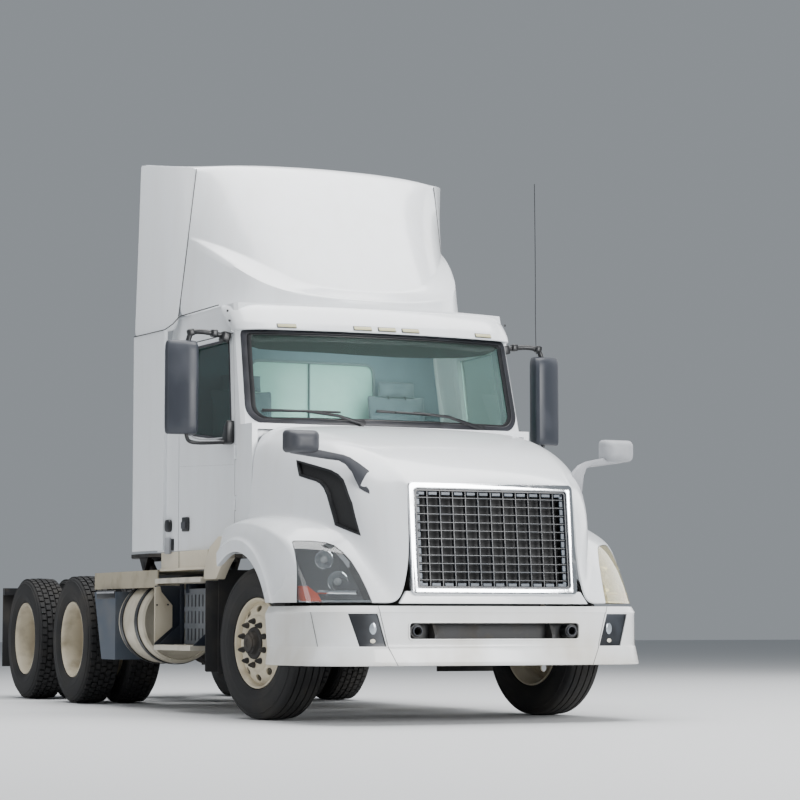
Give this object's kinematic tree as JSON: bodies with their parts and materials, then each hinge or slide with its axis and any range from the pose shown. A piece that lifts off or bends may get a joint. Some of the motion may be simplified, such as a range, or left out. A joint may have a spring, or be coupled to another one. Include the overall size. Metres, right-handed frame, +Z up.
{
  "type": "semi truck tractor unit",
  "caption": "White day-cab truck tractor with a tilting bonnet, tall roof deflector, side extenders, twin rear wheels on two driven axles and a rocking trailer coupling.",
  "frame": {"origin": "on the ground below the middle of the overall length, on the centre plane", "axes": "+X forward, +Y to the vehicle's left, +Z up"},
  "size_m": [7.1168, 3.03, 4.037],
  "materials": {
    "white_panel": "gloss",
    "white_shell": "gloss",
    "glass_pane": "clear",
    "lamp_glass": "clear",
    "fog_glass": "clear",
    "black_trim": "satin",
    "grey_trim": "satin",
    "chrome_trim": "polished",
    "frame_paint": "satin",
    "cast_parts": "rough",
    "cream_wheel": "satin",
    "tyre_rubber": "matte",
    "rubber_flap": "matte",
    "tank_skin": "satin",
    "deck_metal": "worn",
    "box_paint": "satin",
    "seat_cloth": "woven",
    "dash_plastic": "matte",
    "engine_iron": "rough",
    "plate_steel": "greased"
  },
  "bodies": {
    "chassis": {"after_treatment": "frame_paint", "bumper": "white_shell", "cab_back": "white_panel", "cab_floor": "white_panel", "cab_front": "white_panel", "cab_glass": "glass_pane", "cab_roof": "white_panel", "cab_sides": "white_panel", "chassis_lamps": "fog_glass", "coupling_base": "frame_paint", "dashboard": "dash_plastic", "deck_plate": "deck_metal", "drive_axles": "cast_parts", "flaps": "rubber_flap", "frame": "frame_paint", "front_axle": "cast_parts", "fuel_tanks": "tank_skin", "powertrain": "engine_iron", "radiator": "engine_iron", "roof_deflector": "white_shell", "seats": "seat_cloth", "side_boxes": "box_paint", "side_extenders": "white_shell", "skirts": "white_shell", "steps": "deck_metal", "sun_visor": "white_shell", "suspension": "frame_paint", "tank_straps": "black_trim", "tow_bar": "frame_paint", "wipers": "black_trim"},
    "bonnet": {"bonnet": "white_shell", "grille": "black_trim", "grille_surround": "chrome_trim", "headlamps": "lamp_glass", "bonnet_vents": "black_trim", "bonnet_mirrors": "grey_trim"},
    "coupling": {"coupling_plate": "plate_steel"},
    "steering": {"steering_wheel": "dash_plastic"},
    "track_rod": {"tie_rod": "cast_parts"},
    "door_left": {"door_left": "white_panel", "door_glass_left": "glass_pane", "mirror_left": "grey_trim"},
    "knuckle_left": {"knuckle_left": "cast_parts"},
    "front_wheel_left": {"rim_front_left": "cream_wheel", "tyre_front_left": "tyre_rubber"},
    "mid_wheels_left": {"rims_mid_left": "cream_wheel", "tyres_mid_left": "tyre_rubber"},
    "rear_wheels_left": {"rims_rear_left": "cream_wheel", "tyres_rear_left": "tyre_rubber"},
    "door_right": {"door_right": "white_panel", "door_glass_right": "glass_pane", "mirror_right": "grey_trim"},
    "knuckle_right": {"knuckle_right": "cast_parts"},
    "front_wheel_right": {"rim_front_right": "cream_wheel", "tyre_front_right": "tyre_rubber"},
    "mid_wheels_right": {"rims_mid_right": "cream_wheel", "tyres_mid_right": "tyre_rubber"},
    "rear_wheels_right": {"rims_rear_right": "cream_wheel", "tyres_rear_right": "tyre_rubber"}
  },
  "joints": [
    {"name": "bonnet_tilt", "type": "hinge", "parent": "chassis", "child": "bonnet", "pos_m": [3.4545, 0, 0.66], "axis": [0, 1, 0], "range_deg": [0, 70]},
    {"name": "door_left_swing", "type": "hinge", "parent": "chassis", "child": "door_left", "pos_m": [1.6875, 1.07316, 1.6], "axis": [0, 0, -1], "range_deg": [0, 70]},
    {"name": "door_right_swing", "type": "hinge", "parent": "chassis", "child": "door_right", "pos_m": [1.6875, -1.07316, 1.6], "axis": [0, 0, 1], "range_deg": [0, 70]},
    {"name": "steer_right", "type": "hinge", "parent": "chassis", "child": "knuckle_right", "pos_m": [2.2395, -0.88, 0.503], "axis": [0, 0, 1], "range_deg": [-49, 31]},
    {"name": "steer_left", "type": "hinge", "parent": "chassis", "child": "knuckle_left", "pos_m": [2.2395, 0.88, 0.503], "axis": [0, 0, 1], "range_deg": [-49, 31]},
    {"name": "track_rod_pivot", "type": "hinge", "parent": "knuckle_right", "child": "track_rod", "pos_m": [2.05184, -0.90972, 0.361], "axis": [0, 0, 1], "range_deg": [-31, 49]},
    {"name": "steering_turn", "type": "hinge", "parent": "chassis", "child": "steering", "pos_m": [1.3395, 0.52, 1.85], "axis": [-0.6157, 0, 0.788], "range_deg": [-882, 558]},
    {"name": "coupling_rock", "type": "hinge", "parent": "chassis", "child": "coupling", "pos_m": [-2.1805, 0, 1.112], "axis": [0, 1, 0], "range_deg": [-12, 12]},
    {"name": "front_left_spin", "type": "hinge", "parent": "knuckle_left", "child": "front_wheel_left", "pos_m": [2.21682, 1.02321, 0.503], "axis": [-0.1564, 0.9877, 0], "continuous": true},
    {"name": "front_right_spin", "type": "hinge", "parent": "knuckle_right", "child": "front_wheel_right", "pos_m": [2.26218, -1.02321, 0.503], "axis": [-0.1564, 0.9877, 0], "continuous": true},
    {"name": "mid_left_spin", "type": "hinge", "parent": "chassis", "child": "mid_wheels_left", "pos_m": [-1.6185, 0.905, 0.503], "axis": [0, 1, 0], "continuous": true},
    {"name": "rear_left_spin", "type": "hinge", "parent": "chassis", "child": "rear_wheels_left", "pos_m": [-2.9385, 0.905, 0.503], "axis": [0, 1, 0], "continuous": true},
    {"name": "mid_right_spin", "type": "hinge", "parent": "chassis", "child": "mid_wheels_right", "pos_m": [-1.6185, -0.905, 0.503], "axis": [0, 1, 0], "continuous": true},
    {"name": "rear_right_spin", "type": "hinge", "parent": "chassis", "child": "rear_wheels_right", "pos_m": [-2.9385, -0.905, 0.503], "axis": [0, 1, 0], "continuous": true}
  ],
  "couplings": [
    {"joint": "steer_left", "follows": "steer_right", "ratio": 1},
    {"joint": "track_rod_pivot", "follows": "steer_right", "ratio": -1},
    {"joint": "steering_turn", "follows": "steer_right", "ratio": 18}
  ]
}
